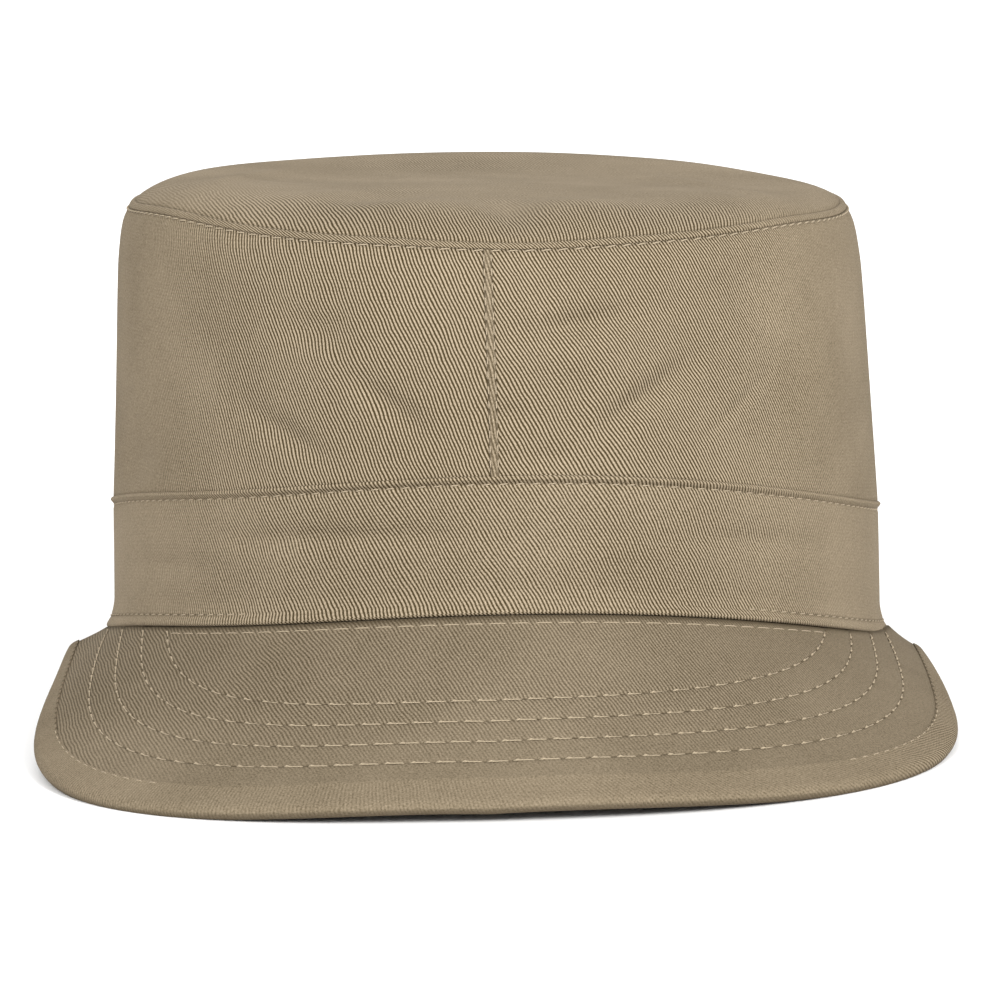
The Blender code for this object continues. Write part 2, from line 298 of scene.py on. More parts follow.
class Wire:
    """A socket of a material's nodes: arithmetic on it adds Math nodes, and node() adds any other."""

    def __init__(self, tree, socket=None):
        self.tree = tree
        self.socket = socket

    def node(self, kind, settings=None, sockets=None, out=0):
        """A node of this kind: its settings are put first, then the values or links of its sockets."""
        made = self.tree.nodes.new(kind)
        for setting, value in (settings or {}).items():
            setattr(made, setting, value)
        for socket, value in (sockets or {}).items():
            if isinstance(value, Wire):
                self.tree.links.new(value.socket, made.inputs[socket])
            else:
                made.inputs[socket].default_value = value
        return Wire(self.tree, made.outputs[out])

    def math(self, operation, *values):
        """A Math node of this operation on the values."""
        return self.node("ShaderNodeMath", {"operation": operation}, dict(enumerate(values)))

    def __add__(self, other):
        return self.math("ADD", self, other)

    def __radd__(self, other):
        return self.math("ADD", other, self)

    def __sub__(self, other):
        return self.math("SUBTRACT", self, other)

    def __rsub__(self, other):
        return self.math("SUBTRACT", other, self)

    def __mul__(self, other):
        return self.math("MULTIPLY", self, other)

    def __rmul__(self, other):
        return self.math("MULTIPLY", other, self)

    def __truediv__(self, other):
        return self.math("DIVIDE", self, other)

    def __pow__(self, other):
        return self.math("POWER", self, other)

    def wave(self):
        """A smooth wave from 0 to 1 and back, once for each unit of this value."""
        return 0.5 + 0.5 * self.math("COSINE", self * (2 * np.pi))

    def clamped(self):
        """This value, held between 0 and 1."""
        return self.math("MAXIMUM", self.math("MINIMUM", self, 1.0), 0.0)

    def mix(self, first, second):
        """The first colour where this value is 0, the second where it is 1."""
        colours = [c if isinstance(c, Wire) else (*c, 1.0) for c in (first, second)]
        sockets = {0: self, 6: colours[0], 7: colours[1]}
        return self.node("ShaderNodeMix", {"data_type": "RGBA"}, sockets, out=2)


RIB_PITCH = 0.00074
YARN_PITCH = 0.00085
RIB_DEPTH = 0.00016
RIB_CRISPNESS = 2.3
RIB_WANDER = 1.2
RIB_COLOUR = (0.320, 0.258, 0.179)
# The groove colour is painted shade: the grooves between the ribs are drawn as dark as they look in shadow.
GROOVE_SHADE_COLOUR = (0.046, 0.032, 0.013)
WEAVE_MIDDLE = 0.42
WEAVE_CONTRAST = 1.38
YARN_SHARE = 0.34
YARN_WANDER = 0.7
# Painted shade along lines of sewing: the colour the cloth is darkened towards beside a seam, how much, and
# how far out.
SEAM_SHADE_COLOUR = (0.050, 0.036, 0.019)
SEAM_SHADE_DARKNESS = 0.85
SEAM_REACH = 0.00026
SEAM_SINK = 1.5
SWAYS_IN_METRE = 26.0
WANDERS_IN_METRE = 170.0
FUZZ_SIZE = 0.00035
FUZZ_HEIGHT = 0.7
FUZZ_CONTRAST = 0.95
MOTTLE_SIZE = 0.030
MOTTLE_CONTRAST = 0.36


def twill(name, tint=1.0, depth=1.0, worn=0.0, waves=5.5):
    """Cotton twill: ribs of slightly uneven yarn floats, with painted shade in the grooves between, and a
    short fuzz.

    Worn is how much lighter it is where its ribs are worn flat, waves how far the ribs stray from straight.
    """
    material = bpy.data.materials.new(name)
    material.use_nodes = True
    tree = material.node_tree
    shader = tree.nodes["Principled BSDF"]
    start = Wire(tree)
    ribs = start.node("ShaderNodeUVMap", {"uv_map": "ribs"})
    relief = start.node("ShaderNodeAttribute", {"attribute_name": "relief"}, out="Fac")
    away = start.node("ShaderNodeAttribute", {"attribute_name": "away"}, out="Fac")
    place = start.node("ShaderNodeTexCoord", out="Object")
    across = start.node("ShaderNodeSeparateXYZ", sockets={0: ribs}, out=0)
    along = start.node("ShaderNodeSeparateXYZ", sockets={0: ribs}, out=1)

    def noise(scale, detail):
        """Smooth noise from 0 to 1, with this many patches in a metre of cloth."""
        return start.node("ShaderNodeTexNoise", sockets={"Vector": place, "Scale": scale, "Detail": detail})

    sway = noise(SWAYS_IN_METRE, 1.0)
    wander = noise(WANDERS_IN_METRE, 2.0)
    fuzz = noise(1 / FUZZ_SIZE, 2.0)
    mottle = noise(1 / MOTTLE_SIZE, 4.0)
    phase = across / RIB_PITCH + (sway - 0.5) * waves + (wander - 0.5) * RIB_WANDER
    rib = ((phase.wave() - 0.5) * RIB_CRISPNESS + 0.5).clamped()
    every_other_rib = phase.math("FLOOR", phase + 0.5) * 0.5
    yarn = (along / YARN_PITCH + every_other_rib + (fuzz - 0.5) * YARN_WANDER).wave()
    cover = rib * (1 - YARN_SHARE + YARN_SHARE * yarn)
    # Beside a sewn line the cloth sinks, and its colour is darkened there as painted shade.
    sewn = start.math("EXPONENT", 0.0 - (away / SEAM_REACH) ** 2.0)
    height = cover * relief * depth + (fuzz - 0.5) * FUZZ_HEIGHT - sewn * SEAM_SINK
    shown = 0.50 + (1 - relief) * worn + (cover - WEAVE_MIDDLE) * WEAVE_CONTRAST * relief * depth
    shown = shown + (mottle - 0.5) * MOTTLE_CONTRAST + (fuzz - 0.5) * FUZZ_CONTRAST
    ridge = tuple(channel * tint for channel in RIB_COLOUR)
    groove = tuple(channel * tint for channel in GROOVE_SHADE_COLOUR)
    colour = (sewn * SEAM_SHADE_DARKNESS).mix(shown.clamped().mix(groove, ridge), SEAM_SHADE_COLOUR)
    bump = start.node("ShaderNodeBump", sockets={"Strength": 0.7, "Distance": RIB_DEPTH, "Height": height})
    tree.links.new(colour.socket, shader.inputs["Base Color"])
    tree.links.new(bump.socket, shader.inputs["Normal"])
    tree.links.new((0.88 + (fuzz - 0.5) * 0.12).socket, shader.inputs["Roughness"])
    shader.inputs["Specular IOR Level"].default_value = 0.08
    return material


def side_fade(turn, least):
    """1 at front and back, falling to the least at the sides, where wear has flattened the ribs."""
    return least + (1 - least) * ramp(np.abs(np.cos(turn)), WORN_FLAT_AT, UNWORN_AT)


def panel_point(turn, height, outset=0.0):
    """Crown's outside at a height above the base: in behind the band below it, over a soft shoulder above.

    Below the top seam it puckers as height * cosine of the distance round, once for each stitch.
    """
    share = share_at(turn, height)
    inside = BAND_THICKNESS + GAP
    over = share_at(turn, BAND_WIDTH + GAP + PANEL_SHOULDER)
    full = rim_height(turn) - base_height(turn)
    top = share_at(turn, full - PANEL_TOP_DROP)
    step = np.clip((share - over) / (top - over), 0, 1)
    lift = FOLD_DEPTH * CROWN_HEIGHT * fold_lift(PANEL_FOLDS, np.degrees(turn), share, 360, DEGREES_IN_HEIGHT)
    pucker = PUCKER * np.cos(2 * np.pi * round_length(turn) / RIM_STITCH)
    pucker = pucker * np.exp(-(full - PANEL_TOP_DROP - height) / PUCKER_REACH)
    below = inside * (1 - ramp(height, BAND_WIDTH - 3 * PANEL_SHOULDER, BAND_WIDTH - PANEL_SHOULDER))
    return crown_point(turn, share, outset - below + lift * 4 * step * (1 - step) + pucker)


side_cloth = twill("crown_twill", worn=0.03)
seam = np.arcsin(GAP / 2 / (BASE_HALF_WIDTH * CROWN_SECTIONS[-1][1]))
for panel, first, last, angle in (
    ("right", seam, np.pi - seam, RIGHT_RIB_ANGLE),
    ("left", -np.pi + seam, -seam, LEFT_RIB_ANGLE),
):
    turn = np.linspace(first, last, PANEL_COLUMNS)
    full = rim_height(turn) - base_height(turn)
    top = full - PANEL_TOP_DROP
    height = PANEL_TUCK + np.linspace(0.0, 1.0, PANEL_ROWS)[:, None] * (top - PANEL_TUCK)
    # Painted shade: the wall's colour darkens along a line just under the top seam's ridge.
    from_line = np.abs(top - RIM_LINE_DROP - height) + LINE_SOFTNESS
    wall = put_cloth(
        "crown_wall_" + panel, panel_point(turn, height), rib_coordinates(round_length(turn), height, angle),
        side_cloth, side_fade(turn, SIDE_RELIEF), from_line, thickness=PANEL_THICKNESS,
    )
    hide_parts("side_panel_" + panel)


# Front and back seams: the two panels' edges lapped into a narrow raised strip of twill, which runs from
# the band up to the top seam and is sewn down along both its edges with cotton thread.
STRIP_HALF_WIDTH = 0.0010
STRIP_THICKNESS = 0.0003
STRIP_RISE = 0.00036
STRIP_EDGE_SINK = 0.0001
STRIP_UNDER_BAND = 0.0020
STRIP_LINE_START = 0.0010
STRIP_LINE_END = 0.0004
STRIP_COLUMNS = 17
STRIP_ROWS = 160
STRIP_RIB_ANGLE = 74.0
STRIP_STITCH = 0.0030
STRIP_STITCH_INSET = 0.00022


def strip_point(middle, across, height):
    """Crown's outside beside a seam, raised by rise * (1 - across to the sixth), across in half widths."""
    turn = middle + across * STRIP_HALF_WIDTH / BASE_HALF_WIDTH
    return panel_point(turn, height, STRIP_RISE * (1 - across ** 6) - STRIP_EDGE_SINK * across ** 6)


PLY_PITCH = 0.0009
PLY_DEPTH = 0.00008
PLY_SHADE = 0.62


def thread_material(name, colour):
    """Sewing thread: two plies twisted together, seen as slanting light bands with painted shade between
    them, matt.
    """
    material = bpy.data.materials.new(name)
    material.use_nodes = True
    tree = material.node_tree
    shader = tree.nodes["Principled BSDF"]
    start = Wire(tree)
    wound = start.node("ShaderNodeUVMap", {"uv_map": "ribs"})
    around = start.node("ShaderNodeSeparateXYZ", sockets={0: wound}, out=0)
    along = start.node("ShaderNodeSeparateXYZ", sockets={0: wound}, out=1)
    ply = (around * 2 + along / PLY_PITCH).wave()
    dark = tuple(channel * PLY_SHADE for channel in colour)
    bump = start.node("ShaderNodeBump", sockets={"Strength": 0.6, "Distance": PLY_DEPTH, "Height": ply})
    tree.links.new((0.35 + 0.65 * ply).mix(dark, colour).socket, shader.inputs["Base Color"])
    tree.links.new(bump.socket, shader.inputs["Normal"])
    shader.inputs["Roughness"].default_value = 0.8
    shader.inputs["Specular IOR Level"].default_value = 0.2
    return material


THREAD_COLOUR = (0.365, 0.297, 0.206)
THREAD_SIDES = 6
THREAD_RINGS = 7
STITCH_DIP = 1.5
KNOT_PLACE = -0.78
KNOT_REACH = 0.22
sewing_thread = thread_material("sewing_thread", THREAD_COLOUR)


def put_stitches(name, path, outward, pitch, filled, radius, sink, slot, knot=0.0, slant=0.0):
    """A row of stitches: short tubes along a path, each dipping into the cloth at both ends.

    The path is cut into stitches of the pitch. A tube's middle line is the path over the filled share of
    each, raised by radius * (1 - sink) less a fourth power of the distance from its middle. The sink may
    change along the path. A knot swells one end, and a slant carries the two ends to either side.
    """
    step = np.linalg.norm(np.diff(path, axis=0), axis=1)
    run = np.concatenate([[0.0], np.cumsum(step)])
    count = max(1, int(round(run[-1] / pitch)))
    pitch = run[-1] / count
    t = np.linspace(-1.0, 1.0, THREAD_RINGS)
    at = (np.arange(count)[:, None] + 0.5 + 0.5 * filled * t) * pitch
    middle = np.stack([np.interp(at, run, path[:, axis]) for axis in range(3)], axis=-1)
    normal = np.stack([np.interp(at, run, outward[:, axis]) for axis in range(3)], axis=-1)
    normal = normal / np.linalg.norm(normal, axis=-1, keepdims=True)
    ahead = np.gradient(middle, axis=1)
    side = np.cross(normal, ahead)
    side = side / np.linalg.norm(side, axis=-1, keepdims=True)
    knotted = knot * bell(t, KNOT_PLACE, KNOT_REACH)
    size = radius * (np.sqrt(np.clip(1 - np.abs(t) ** 6, 0.02, 1)) + knotted)
    sunk = np.interp(at, run, np.broadcast_to(sink, run.shape))
    rise = radius * (1 - sunk - STITCH_DIP * t ** 4 + 0.6 * (sunk + 0.3 * knot) * knotted)
    middle = middle + normal * rise[..., None] + side * (slant * t)[:, None]
    round_by = np.linspace(0, 2 * np.pi, THREAD_SIDES, endpoint=False)
    spoke = side[:, :, None] * np.cos(round_by)[:, None] + normal[:, :, None] * np.sin(round_by)[:, None]
    points = middle[:, :, None] + spoke * size[:, None, None]
    here = np.arange(points.shape[0] * points.shape[1] * points.shape[2]).reshape(points.shape[:3])
    turned = np.pad(here, ((0, 0), (0, 0), (0, 1)), mode="wrap")
    quads = np.stack(
        [turned[:, :-1, :-1], turned[:, :-1, 1:], turned[:, 1:, 1:], turned[:, 1:, :-1]], axis=-1
    ).reshape(-1, 4)
    column = np.stack(np.broadcast_arrays(here % THREAD_SIDES / THREAD_SIDES, at[:, :, None]), axis=-1)
    corner_ribs = column.reshape(-1, 2)[quads]
    # Each end is closed by two four-sided faces, which look back at one end and ahead at the other.
    ends = []
    for ring, order in ((0, (3, 2, 1, 0)), (-1, (0, 1, 2, 3))):
        rim = here[:, ring]
        for first in (0, 2):
            picked = rim[:, [first, first + 1, first + 2, (first + 3) % THREAD_SIDES]]
            ends.append(picked[:, list(order)])
    ends = np.concatenate(ends)
    quads = np.concatenate([quads, ends])
    corner_ribs = np.concatenate([corner_ribs, column.reshape(-1, 2)[ends]])
    row = put_mesh(name, points.reshape(-1, 3), quads, corner_ribs, {}, sewing_thread)
    return row


def outward_at(point, turn, height):
    """Unit direction out of a surface given by a function of turn and height, from small steps along both."""
    step = 0.0002
    round_by = point(turn + step, height) - point(turn - step, height)
    up_by = point(turn, height + step) - point(turn, height - step)
    normal = np.cross(round_by, up_by)
    return normal / np.linalg.norm(normal, axis=-1, keepdims=True)


for place, middle in (("front", 0.0), ("back", np.pi)):
    full = rim_height(middle) - base_height(middle)
    height = np.linspace(BAND_WIDTH - STRIP_UNDER_BAND, full - PANEL_TOP_DROP, STRIP_ROWS)[:, None]
    across = np.linspace(-1.0, 1.0, STRIP_COLUMNS)
    # Painted shade: the strip's colour darkens towards its two sewn edges.
    strip = put_cloth(
        "seam_strip_" + place, strip_point(middle, across, height),
        rib_coordinates(across * STRIP_HALF_WIDTH, height, STRIP_RIB_ANGLE), side_cloth, relief=0.5,
        away=0.35 * STRIP_HALF_WIDTH * (1 - np.abs(across)) + LINE_SOFTNESS / 2, thickness=STRIP_THICKNESS,
    )
    line = np.linspace(BAND_WIDTH + STRIP_LINE_START, full - PANEL_TOP_DROP - STRIP_LINE_END, STRIP_ROWS // 2)
    for side, name in ((-1, "left"), (1, "right")):
        beside = side * (1 - STRIP_STITCH_INSET / STRIP_HALF_WIDTH)
        put_stitches(
            "seam_stitches_" + place + "_" + name, strip_point(middle, beside, line),
            outward_at(panel_point, middle, line), STRIP_STITCH, filled=0.62, radius=0.00014, sink=0.4,
            slot="crown_twill",
        )


# Crown top: an oval of the same twill, puffed up inside its seam and dented by handling. Its edge is
# turned under as a narrow ridge just proud of the wall, which a row of stitches holds from below.
TOP_DOME = 0.0061
TOP_FULLNESS = 12.0
TOP_OVERHANG = 0.0003
TOP_SIDE_INSET = 0.0003
TOP_RIB_ANGLE = 77.0
TOP_UNDERSIDE_DROP = 0.0009
TOP_UNDERSIDE_INSET = 0.0030
TOP_EDGE_START = 0.0028
TOP_EDGE_RELIEF = 0.9
TOP_FLAT_RELIEF = 0.25
TOP_SIDE_RELIEF = 0.20
TOP_WEAR_START = 0.005
TOP_WEAR_END = 0.021
TOP_LINE_DROP = 0.0003
RIDGE_RISE = 0.00030
RIDGE_REACH = 0.00045
RIDGE_GROOVE = 0.00035
RIDGE_WIDTH = 0.0013
RIDGE_SHEAR = 0.9
TOP_FOLDS = (
    # across, along, reach across, reach along as shares of the rim's distance, lean in degrees, lift
    (-0.20, -0.80, 0.26, 0.14, 0.0, 0.22),
    (0.24, -0.80, 0.16, 0.14, 8.0, 0.26),
    (0.06, -0.84, 0.07, 0.16, 20.0, -0.30),
    (-0.45, -0.62, 0.10, 0.22, -30.0, 0.16),
    (-0.30, -0.62, 0.09, 0.20, -25.0, -0.16),
    (-0.67, -0.05, 0.05, 0.35, -15.0, 0.17),
    (0.60, -0.08, 0.05, 0.35, 24.0, 0.15),
    (-0.80, 0.10, 0.22, 0.60, 0.0, 0.06),
    (-0.45, 0.15, 0.25, 0.50, 0.0, -0.23),
    (-0.05, 0.30, 0.30, 0.40, 0.0, -0.28),
    (0.40, 0.20, 0.25, 0.50, 0.0, -0.31),
    (0.78, 0.10, 0.22, 0.60, 0.0, -0.37),
)
EDGE_PROFILE = (
    # outset and drop from the rim, round the ridge and in under it, in millimetres
    (0.10, 0.16),
    (0.14, 0.34),
    (0.08, 0.54),
    (-0.10, 0.72),
    (-0.50, 0.84),
    (-1.40, 0.88),
)
TOP_COLUMNS = 560
TOP_ROWS = 100
TOP_INNER_ROWS = 24
TOP_EDGE_INSETS = np.array([2.6, 2.2, 1.9, 1.6, 1.3, 1.1, 0.9, 0.7, 0.5, 0.3, 0.15, 0.0]) / 1000


def rim_point(turn, outset=0.0):
    """The top's edge: the wall's rim plus an overhang, set in at the sides as the turn's sine squared."""
    return crown_point(turn, 1.0, TOP_OVERHANG - TOP_SIDE_INSET * np.sin(turn) ** 2 + outset)


def top_point(turn, inset):
    """Rings at an inset from the rim: height = crown + dome * (1 - share ** fullness) * (1 + folds).

    The share is the way out from the centre. A bell near the rim makes the ridge, one behind it its groove.
    """
    rim = rim_point(turn)
    centre = np.array([CROWN_LEAN, 0.0, CROWN_HEIGHT])
    radius = np.hypot(rim[..., 0] - centre[0], rim[..., 1])
    share = np.clip(1 - inset / radius, 0.0, 1.0)
    grid = centre + share[..., None] * (rim - centre)
    folds = fold_lift(TOP_FOLDS, share * np.sin(turn), -share * np.cos(turn))
    grid[..., 2] = CROWN_HEIGHT + share ** 2 * (rim[..., 2] - CROWN_HEIGHT)
    grid[..., 2] += TOP_DOME * (1 - share ** TOP_FULLNESS) * (1 + folds)
    pucker = 1 + 0.2 * np.cos(2 * np.pi * round_length(turn) / RIM_STITCH)
    ridge = RIDGE_RISE * bell(inset, 0.4 * RIDGE_WIDTH, RIDGE_REACH) * pucker
    grid[..., 2] += (ridge - RIDGE_GROOVE * bell(inset, RIDGE_WIDTH, RIDGE_REACH)) * share ** 8
    return grid


turn = np.linspace(0, 2 * np.pi, TOP_COLUMNS, endpoint=False)
rim = rim_point(turn)
radius = np.hypot(rim[:, 0] - CROWN_LEAN, rim[:, 1])
rings = np.cos(np.linspace(0.0, 0.5 * np.pi, TOP_ROWS))[:, None]
inset = np.concatenate([
    TOP_EDGE_START + (radius - TOP_EDGE_START) * rings,
    np.repeat(TOP_EDGE_INSETS[:, None], TOP_COLUMNS, 1),
])
outer = top_point(turn, inset)
edge = np.array(EDGE_PROFILE) / 1000
around = np.stack([rim_point(turn, out) for out in edge[:, 0]])
around[..., 2] -= edge[:, 1, None]
rings = np.cos(np.linspace(0.0, 0.5 * np.pi, TOP_INNER_ROWS))[:, None]
inner = top_point(turn, TOP_UNDERSIDE_INSET + (radius - TOP_UNDERSIDE_INSET) * rings[::-1])
inner[..., 2] -= TOP_UNDERSIDE_DROP
top_grid = np.concatenate([outer, around, inner])
run = np.linalg.norm(np.diff(top_grid, axis=0), axis=-1).cumsum(axis=0)
run = np.concatenate([np.zeros((1, TOP_COLUMNS)), run])
toward = np.arctan2(rim[:, 0] - CROWN_LEAN, -rim[:, 1])
ribs = rib_coordinates(run * np.sin(toward), -run * np.cos(toward), TOP_RIB_ANGLE)
ribs[..., 0] -= RIDGE_SHEAR * np.maximum(run - run[len(outer) - 1] + RIDGE_WIDTH, 0.0)
under_edge = np.ones((len(around) + len(inner), TOP_COLUMNS))
# Painted shade: the top's colour darkens in the groove behind its edge ridge.
away = np.concatenate([np.abs(inset - RIDGE_WIDTH) + LINE_SOFTNESS, under_edge])
unworn = 1 - ramp(inset, TOP_WEAR_START, TOP_WEAR_END)
relief = np.concatenate([TOP_FLAT_RELIEF + (TOP_EDGE_RELIEF - TOP_FLAT_RELIEF) * unworn, under_edge])
relief = relief * side_fade(turn, TOP_SIDE_RELIEF)
crown_top = put_cloth(
    "crown_top_cloth", top_grid[::-1], ribs[::-1], side_cloth, relief[::-1], away[::-1], ring=True,
)
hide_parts("crown_top")

turn = np.linspace(-np.pi, np.pi, 1200)
line = rim_height(turn) - base_height(turn) - PANEL_TOP_DROP - TOP_LINE_DROP
put_stitches(
    "top_seam_stitches", panel_point(turn, line), outward_at(panel_point, turn, line), RIM_STITCH,
    filled=0.70, radius=0.00016, sink=0.10, slot="crown_twill", slant=0.00016,
)


# Band: one strip of twill sewn round the foot of the crown over the panels' raw edge. Its upper edge is
# folded over and sewn down just below the fold, its lower edge rolled and flared a little over the visor.
BAND_RIB_ANGLE = 60.5
BAND_COLUMNS = 760
BAND_ROWS = 64
BAND_INNER_ROWS = 10
BAND_STITCH = 0.0034
FOLD_RISE = 0.00068
FOLD_WIDTH = 0.0013
HEM_RISE = 0.00050
HEM_WIDTH = 0.0012
HEM_DROP = 0.0004
HEM_SIDE_DROP = 0.0005
UPPER_LINE = BAND_WIDTH - 1.35 * FOLD_WIDTH
LOWER_LINE = 1.7 * HEM_WIDTH
LOWER_LINE_FRONT_SOFTNESS = 0.0006
LOWER_LINE_SIDE_SOFTNESS = 0.0001
GROOVE_DEPTH = 0.00030
GROOVE_REACH = 0.00038
BAND_EDGE_RADIUS = 0.00062
BAND_EDGE_STEPS = 7
BAND_FOLDS = (
    # turn, height share, reach round, reach up as a share, lean, lift as a share; the angles in degrees
    (-57.0, 0.145, 10.0, 0.03, 0.0, -0.0080),
    (-24.0, 0.215, 17.0, 0.03, 0.0, -0.0110),
    (-66.0, 0.060, 8.0, 0.03, 0.0, 0.0040),
    (41.0, 0.205, 13.0, 0.03, 0.0, -0.0070),
    (12.0, 0.150, 10.0, 0.04, 10.0, 0.0030),
    (130.0, 0.160, 12.0, 0.08, 15.0, -0.0060),
    (-135.0, 0.160, 12.0, 0.08, -15.0, 0.0060),
)


def band_point(turn, height, outset=0.0):
    """The crown's outside, raised by bells at the upper fold and the lower hem, sunk where they are sewn."""
    puckered = 1 + 0.25 * np.cos(2 * np.pi * round_length(turn) / BAND_STITCH)
    lift = FOLD_RISE * bell(height, BAND_WIDTH - 0.25 * FOLD_WIDTH, 0.6 * FOLD_WIDTH)
    lift = lift + HEM_RISE * bell(height, 0.6 * HEM_WIDTH, 0.65 * HEM_WIDTH)
    lift = lift - GROOVE_DEPTH * puckered * bell(height, UPPER_LINE, GROOVE_REACH)
    lift = lift - 0.6 * GROOVE_DEPTH * puckered * bell(height, LOWER_LINE, GROOVE_REACH)
    share = share_at(turn, height)
    lift = lift + CROWN_HEIGHT * fold_lift(BAND_FOLDS, np.degrees(turn), share, 360, DEGREES_IN_HEIGHT)
    placed = crown_point(turn, share, lift + outset)
    lower = HEM_DROP + HEM_SIDE_DROP * bell(np.abs(turn), 1.4, 0.25)
    placed[..., 2] -= lower * ramp(-height, -2.2 * HEM_WIDTH, 0.0)
    return placed


band_cloth = twill("band_twill", depth=0.85, worn=0.13)
turn = np.linspace(-np.pi, np.pi, BAND_COLUMNS, endpoint=False)
spread = 0.5 - 0.5 * np.cos(np.linspace(0.0, np.pi, BAND_ROWS))
spread = 0.55 * spread + 0.45 * np.linspace(0.0, 1.0, BAND_ROWS)
face = BAND_EDGE_RADIUS + (BAND_WIDTH - 2 * BAND_EDGE_RADIUS) * spread
swing = np.linspace(0.0, np.pi, BAND_EDGE_STEPS + 2)[1:-1]
inside = np.linspace(face[-1], face[0], BAND_INNER_ROWS)
heights = np.concatenate([
    face, face[-1] + BAND_EDGE_RADIUS * np.sin(swing), inside, face[0] - BAND_EDGE_RADIUS * np.sin(swing),
])
outsets = np.concatenate([
    np.zeros(len(face)), BAND_EDGE_RADIUS * (np.cos(swing) - 1), np.full(len(inside), -2 * BAND_EDGE_RADIUS),
    -BAND_EDGE_RADIUS * (1 + np.cos(swing)),
])
level = np.clip(heights, face[0], face[-1])
band_grid = band_point(turn, level[:, None], outsets[:, None])
band_grid[..., 2] += (heights - level)[:, None]
run_up = np.concatenate([[0.0], np.cumsum(np.hypot(np.diff(heights), np.diff(outsets)))])
ribs = rib_coordinates(round_length(turn), run_up[:, None], BAND_RIB_ANGLE)
at_side = ramp(np.abs(turn), np.radians(25.0), np.radians(50.0))
# Painted shade: the band's colour darkens round the upper stitch line, more widely above it on the fold's
# lower side, and along the lower line at the sides, fading out in front.
from_fold = (heights - UPPER_LINE)[:, None]
from_fold = np.where(from_fold > 0, 0.50 * from_fold, -1.3 * from_fold) + LINE_SOFTNESS
softness = LOWER_LINE_FRONT_SOFTNESS + (LOWER_LINE_SIDE_SOFTNESS - LOWER_LINE_FRONT_SOFTNESS) * at_side
from_hem = np.abs(heights - LOWER_LINE)[:, None] + softness
band = put_cloth(
    "band_strip", band_grid, ribs, band_cloth, side_fade(turn, SIDE_RELIEF), np.minimum(from_fold, from_hem),
    ring=True, tube=True,
)
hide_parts("band")
for name, line, first, last in (
    ("band_upper_stitches", UPPER_LINE, -180.0, 180.0),
    ("band_lower_stitches", LOWER_LINE, 38.0, 322.0),
):
    turn = np.radians(np.linspace(first, last, 1200))
    put_stitches(
        name, band_point(turn, line), outward_at(band_point, turn, line), BAND_STITCH,
        filled=0.62, radius=0.00015, sink=0.40, slot="band_twill", slant=0.00010,
    )


# Visor: two cloths of twill over a stiff filling, short and curved down over the brow, sewn through in
# four nested rows and turned in under the band, where a fifth row holds them.
VISOR_REACH = 0.0493
VISOR_SIDE_REACH = 0.0107
VISOR_WIDEST = 0.0740
VISOR_END = 0.0130
VISOR_END_TURN = 84.0
VISOR_END_TAPER = 0.0034
VISOR_TAPER_POWER = 1.4
VISOR_LEFT_SQUARENESS = 2.60
VISOR_RIGHT_SQUARENESS = 2.30
VISOR_SHIFT = -0.0002
VISOR_SLOPE = 34.1
VISOR_END_SLOPE = 23.8
VISOR_SLOPE_POWER = 1.1
VISOR_CURL = 0.0036
VISOR_TWIST = 0.0004
VISOR_SEAM_DROP = 0.0008
VISOR_SEAM_TUCK = 0.0020
VISOR_TURNED_IN = 0.0003
VISOR_TURNED_UP = 0.0030
VISOR_PLY = 0.0010
VISOR_FLAT_TURN = 0.68
VISOR_FOOT_LIFT = 0.0003
LEFT_END_LIFT = 0.0020
LEFT_LIFT_REACH = 0.10
RIGHT_END_LIFT = 0.0015
RIGHT_LIFT_REACH = 0.12
VISOR_RIB_ANGLE = 64.0
VISOR_WEAR = 0.88
VISOR_WEAR_START = 0.004
VISOR_WEAR_END = 0.030
VISOR_COLUMNS = 561
VISOR_ROWS = 140
VISOR_INNER_ROWS = 10
UNDER_COLUMNS = 281
UNDER_ROWS = 50
OUTLINE_SAMPLES = 400
ROW_FIRST = 0.0101
ROW_SPACING = 0.0055
ROW_COUNT = 4
ROW_SWELL = 0.34
ROW_SWELL_REACH = 1.17
ROW_STITCH = 0.0052
ROW_SINK = 0.00024
ROW_GROOVE = 0.00060
ROW_END_MARGIN = 0.0004
CROWN_ROW = 0.0016
CROWN_ROW_END = 0.62
CROWN_ROW_STITCH = 0.0048
BINDING_REACH = 0.0050
BINDING_END_REACH = 0.0008
BINDING_NARROWING = 3.2
BINDING_THICKNESS = 0.0005


def visor_outline(along):
    """Middle of the edge in plan, by its length from -1 to 1: tapered sides and a superellipse front."""
    half_width = BASE_HALF_WIDTH + VISOR_SIDE_REACH
    front = BASE_HALF_LENGTH + VISOR_REACH
    side = np.linspace(0.0, 1.0, OUTLINE_SAMPLES)
    end_x = half_width - VISOR_END_TAPER * (1 - side) ** VISOR_TAPER_POWER
    end_y = -VISOR_END - side * (VISOR_WIDEST - VISOR_END)
    corner = np.radians(np.linspace(90.0, 0.0, OUTLINE_SAMPLES)[1:])
    halves = []
    for squareness in (VISOR_LEFT_SQUARENESS, VISOR_RIGHT_SQUARENESS):
        front_x = half_width * np.sin(corner) ** (2 / squareness)
        front_y = -VISOR_WIDEST - (front - VISOR_WIDEST) * np.cos(corner) ** (2 / squareness)
        halves.append((np.concatenate([end_x, front_x]), np.concatenate([end_y, front_y])))
    (left_x, left_y), (right_x, right_y) = halves
    x = np.concatenate([-left_x[:-1], right_x[::-1]]) + VISOR_SHIFT
    y = np.concatenate([left_y[:-1], right_y[::-1]])
    length = np.concatenate([[0.0], np.cumsum(np.hypot(np.diff(x), np.diff(y)))])
    length = 2 * length / length[-1] - 1
    return np.interp(along, length, x), np.interp(along, length, y)


def visor_width(along):
    """Distance in plan from the band to the edge."""
    foot = crown_point(along * np.radians(VISOR_END_TURN), 0.0)
    edge_x, edge_y = visor_outline(along)
    return np.hypot(edge_x - foot[..., 0], edge_y - foot[..., 1])


